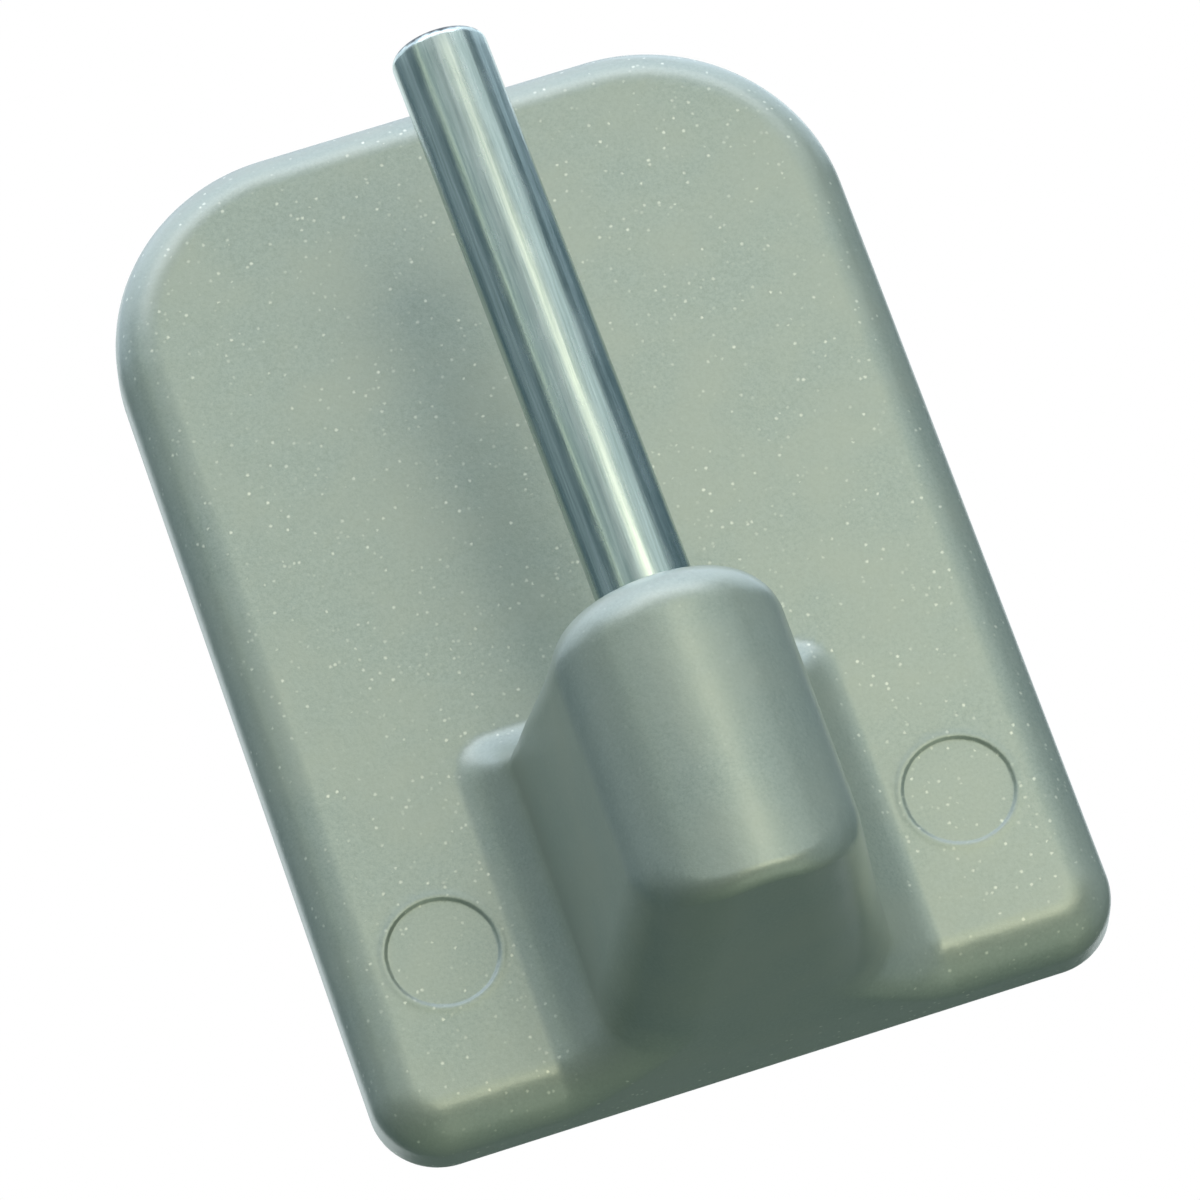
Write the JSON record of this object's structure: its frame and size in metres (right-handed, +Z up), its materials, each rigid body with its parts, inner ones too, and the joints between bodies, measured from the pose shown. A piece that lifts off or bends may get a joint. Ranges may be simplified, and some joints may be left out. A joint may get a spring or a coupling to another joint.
{
  "type": "adhesive curtain rod hook",
  "caption": "Self-adhesive wall hook: a moulded plate with a boss that holds an upright steel pin for a curtain rod's eye, on a foam pad with a peel-off liner.",
  "frame": {"origin": "middle of the face that goes to the wall, on the back of the release liner", "axes": "+X across the plate, +Y into the wall, +Z up along the steel pin"},
  "size_m": [0.022, 0.0159, 0.031],
  "materials": {
    "moulding": "silver-grey moulded plastic with fine metallic flake, satin",
    "steel": "drawn steel wire, zinc plated, semi-bright",
    "adhesive": "tacky acrylic film, glossy",
    "foam": "closed-cell polyethylene foam, matt",
    "liner": "siliconised paper, satin"
  },
  "bodies": {
    "hook": {"hook_body": "moulding", "steel_pin": "steel", "body_adhesive": "adhesive", "foam_core": "foam", "wall_adhesive": "adhesive"},
    "liner": {"release_liner": "liner"}
  },
  "joints": [
    {"name": "liner_peel", "type": "slide", "parent": "hook", "child": "liner", "axis": [0, 1, 0], "range_m": [0, 0.03]}
  ]
}
